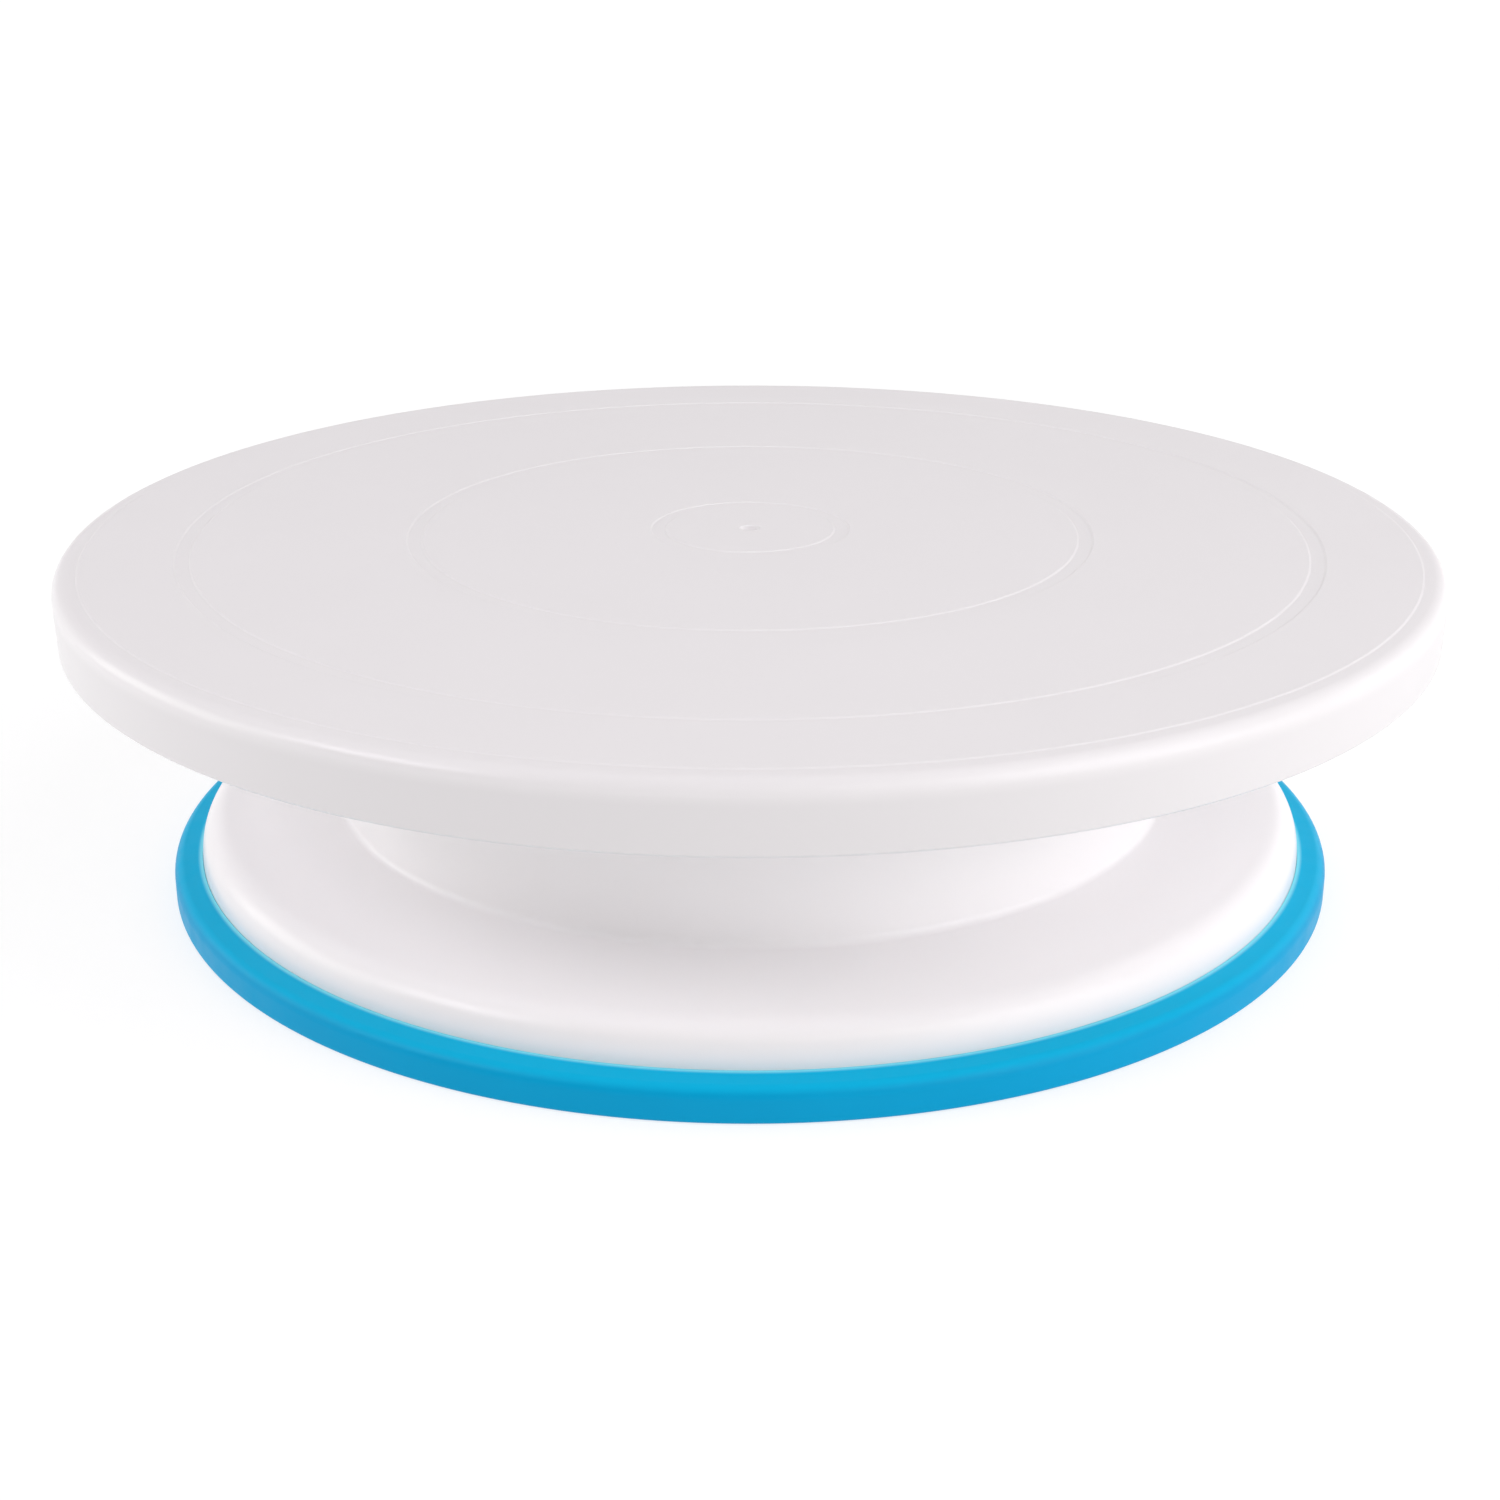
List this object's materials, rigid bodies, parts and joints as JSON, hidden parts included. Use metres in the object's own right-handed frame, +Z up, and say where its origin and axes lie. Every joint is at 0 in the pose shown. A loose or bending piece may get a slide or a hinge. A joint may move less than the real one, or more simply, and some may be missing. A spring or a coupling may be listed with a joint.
{
  "type": "cake turntable",
  "caption": "Low round stand for decorating cakes: a grooved disc spins freely on a ball bearing in a flared drum base with a rubber foot ring.",
  "frame": {"origin": "on the table surface, directly under the spin axis", "axes": "+Z up along the spin axis; the stand is round about it, so X and Y are any two level directions at right angles"},
  "size_m": [0.28, 0.28, 0.0705],
  "materials": {
    "white_plastic": "satin moulded polypropylene, cool white",
    "blue_rubber": "smooth satin moulded elastomer, bright blue",
    "steel": "bright plated or ground steel",
    "cage_plastic": "natural moulded plastic, lightly greased",
    "bush_plastic": "natural acetal"
  },
  "bodies": {
    "base": {"base_shell": "white_plastic", "non_slip_ring": "blue_rubber", "lower_race": "steel", "hub_bush": "bush_plastic"},
    "cage": {"ball_cage": "cage_plastic"},
    "ball_01": {"ball_01": "steel"},
    "ball_02": {"ball_02": "steel"},
    "ball_03": {"ball_03": "steel"},
    "ball_04": {"ball_04": "steel"},
    "ball_05": {"ball_05": "steel"},
    "ball_06": {"ball_06": "steel"},
    "ball_07": {"ball_07": "steel"},
    "ball_08": {"ball_08": "steel"},
    "ball_09": {"ball_09": "steel"},
    "ball_10": {"ball_10": "steel"},
    "ball_11": {"ball_11": "steel"},
    "ball_12": {"ball_12": "steel"},
    "ball_13": {"ball_13": "steel"},
    "ball_14": {"ball_14": "steel"},
    "ball_15": {"ball_15": "steel"},
    "ball_16": {"ball_16": "steel"},
    "turntable": {"turntable_plate": "white_plastic", "upper_race": "steel", "retaining_washer": "steel", "retaining_screw": "steel"}
  },
  "joints": [
    {"name": "plate_spin", "type": "hinge", "parent": "base", "child": "turntable", "pos_m": [0, 0, 0.06], "axis": [0, 0, 1], "continuous": true},
    {"name": "cage_spin", "type": "hinge", "parent": "base", "child": "cage", "pos_m": [0, 0, 0.06], "axis": [0, 0, 1], "continuous": true},
    {"name": "ball_01_roll", "type": "hinge", "parent": "cage", "child": "ball_01", "pos_m": [0.062, 0, 0.0636], "axis": [1, 0, 0], "continuous": true},
    {"name": "ball_02_roll", "type": "hinge", "parent": "cage", "child": "ball_02", "pos_m": [0.05728, 0.02373, 0.0636], "axis": [0.9239, 0.3827, 0], "continuous": true},
    {"name": "ball_03_roll", "type": "hinge", "parent": "cage", "child": "ball_03", "pos_m": [0.04384, 0.04384, 0.0636], "axis": [0.7071, 0.7071, 0], "continuous": true},
    {"name": "ball_04_roll", "type": "hinge", "parent": "cage", "child": "ball_04", "pos_m": [0.02373, 0.05728, 0.0636], "axis": [0.3827, 0.9239, 0], "continuous": true},
    {"name": "ball_05_roll", "type": "hinge", "parent": "cage", "child": "ball_05", "pos_m": [0, 0.062, 0.0636], "axis": [0, 1, 0], "continuous": true},
    {"name": "ball_06_roll", "type": "hinge", "parent": "cage", "child": "ball_06", "pos_m": [-0.02373, 0.05728, 0.0636], "axis": [-0.3827, 0.9239, 0], "continuous": true},
    {"name": "ball_07_roll", "type": "hinge", "parent": "cage", "child": "ball_07", "pos_m": [-0.04384, 0.04384, 0.0636], "axis": [-0.7071, 0.7071, 0], "continuous": true},
    {"name": "ball_08_roll", "type": "hinge", "parent": "cage", "child": "ball_08", "pos_m": [-0.05728, 0.02373, 0.0636], "axis": [-0.9239, 0.3827, 0], "continuous": true},
    {"name": "ball_09_roll", "type": "hinge", "parent": "cage", "child": "ball_09", "pos_m": [-0.062, 0, 0.0636], "axis": [-1, 0, 0], "continuous": true},
    {"name": "ball_10_roll", "type": "hinge", "parent": "cage", "child": "ball_10", "pos_m": [-0.05728, -0.02373, 0.0636], "axis": [-0.9239, -0.3827, 0], "continuous": true},
    {"name": "ball_11_roll", "type": "hinge", "parent": "cage", "child": "ball_11", "pos_m": [-0.04384, -0.04384, 0.0636], "axis": [-0.7071, -0.7071, 0], "continuous": true},
    {"name": "ball_12_roll", "type": "hinge", "parent": "cage", "child": "ball_12", "pos_m": [-0.02373, -0.05728, 0.0636], "axis": [-0.3827, -0.9239, 0], "continuous": true},
    {"name": "ball_13_roll", "type": "hinge", "parent": "cage", "child": "ball_13", "pos_m": [0, -0.062, 0.0636], "axis": [0, -1, 0], "continuous": true},
    {"name": "ball_14_roll", "type": "hinge", "parent": "cage", "child": "ball_14", "pos_m": [0.02373, -0.05728, 0.0636], "axis": [0.3827, -0.9239, 0], "continuous": true},
    {"name": "ball_15_roll", "type": "hinge", "parent": "cage", "child": "ball_15", "pos_m": [0.04384, -0.04384, 0.0636], "axis": [0.7071, -0.7071, 0], "continuous": true},
    {"name": "ball_16_roll", "type": "hinge", "parent": "cage", "child": "ball_16", "pos_m": [0.05728, -0.02373, 0.0636], "axis": [0.9239, -0.3827, 0], "continuous": true}
  ],
  "couplings": [
    {"joint": "cage_spin", "follows": "plate_spin", "ratio": 0.5},
    {"joint": "ball_01_roll", "follows": "plate_spin", "ratio": -10.333},
    {"joint": "ball_02_roll", "follows": "plate_spin", "ratio": -10.333},
    {"joint": "ball_03_roll", "follows": "plate_spin", "ratio": -10.333},
    {"joint": "ball_04_roll", "follows": "plate_spin", "ratio": -10.333},
    {"joint": "ball_05_roll", "follows": "plate_spin", "ratio": -10.333},
    {"joint": "ball_06_roll", "follows": "plate_spin", "ratio": -10.333},
    {"joint": "ball_07_roll", "follows": "plate_spin", "ratio": -10.333},
    {"joint": "ball_08_roll", "follows": "plate_spin", "ratio": -10.333},
    {"joint": "ball_09_roll", "follows": "plate_spin", "ratio": -10.333},
    {"joint": "ball_10_roll", "follows": "plate_spin", "ratio": -10.333},
    {"joint": "ball_11_roll", "follows": "plate_spin", "ratio": -10.333},
    {"joint": "ball_12_roll", "follows": "plate_spin", "ratio": -10.333},
    {"joint": "ball_13_roll", "follows": "plate_spin", "ratio": -10.333},
    {"joint": "ball_14_roll", "follows": "plate_spin", "ratio": -10.333},
    {"joint": "ball_15_roll", "follows": "plate_spin", "ratio": -10.333},
    {"joint": "ball_16_roll", "follows": "plate_spin", "ratio": -10.333}
  ]
}
